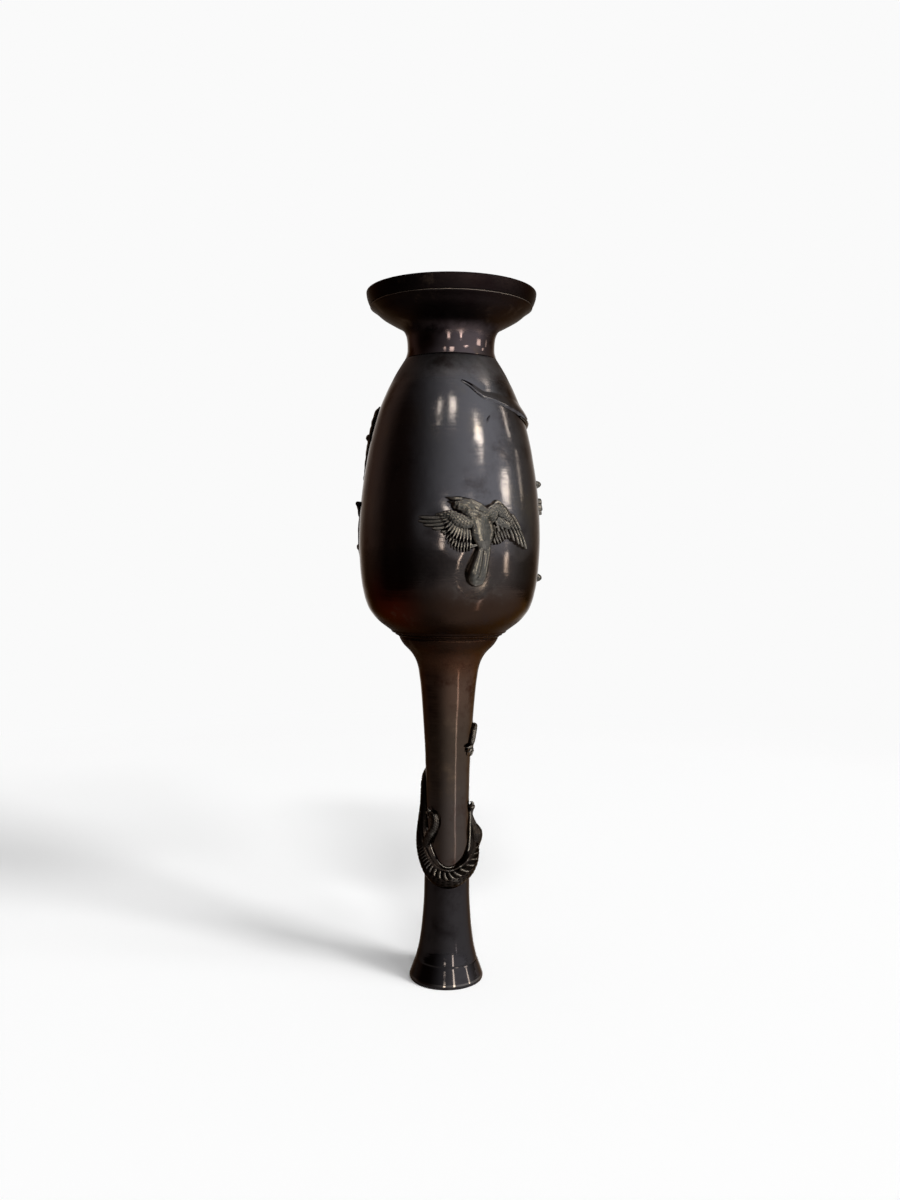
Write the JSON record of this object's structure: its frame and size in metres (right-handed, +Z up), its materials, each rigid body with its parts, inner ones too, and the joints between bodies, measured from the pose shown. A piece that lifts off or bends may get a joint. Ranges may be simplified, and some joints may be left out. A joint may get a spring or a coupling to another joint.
{
  "type": "bud vase",
  "caption": "Tall cast bronze vase with a dished mouth, ovoid body, slender stem and flared foot, with raised bird, flowering plum and climbing dragon reliefs.",
  "frame": {"origin": "centre of the foot ring on the table", "axes": "+Z up to the mouth, -Y the front with the bird, +X to the right"},
  "size_m": [0.0694, 0.0695, 0.25],
  "materials": {
    "neck_bronze": "polished, dark purple-brown patina",
    "body_bronze": "polished, dark slate patina with a reddish patch",
    "stem_bronze": "polished, red-brown patina",
    "foot_bronze": "polished, black patina",
    "relief_bronze": "satin, olive-grey patina, bright on worn edges"
  },
  "bodies": {
    "root": {"mouth_and_neck": "neck_bronze", "body_shell": "body_bronze", "stem": "stem_bronze", "foot": "foot_bronze", "base_plate": "foot_bronze", "bird": "relief_bronze", "plum_trunk": "relief_bronze", "plum_upper_bough": "relief_bronze", "plum_lower_bough": "relief_bronze", "plum_blossom_1": "relief_bronze", "plum_blossom_2": "relief_bronze", "plum_blossom_3": "relief_bronze", "plum_blossom_4": "relief_bronze", "plum_blossom_5": "relief_bronze", "plum_blossom_6": "relief_bronze", "plum_blossom_7": "relief_bronze", "dragon_body": "relief_bronze", "dragon_hind_leg_left": "relief_bronze", "dragon_hind_leg_right": "relief_bronze", "dragon_fore_leg_right": "relief_bronze", "dragon_fore_leg_left": "relief_bronze", "dragon_head": "relief_bronze"}
  },
  "joints": []
}
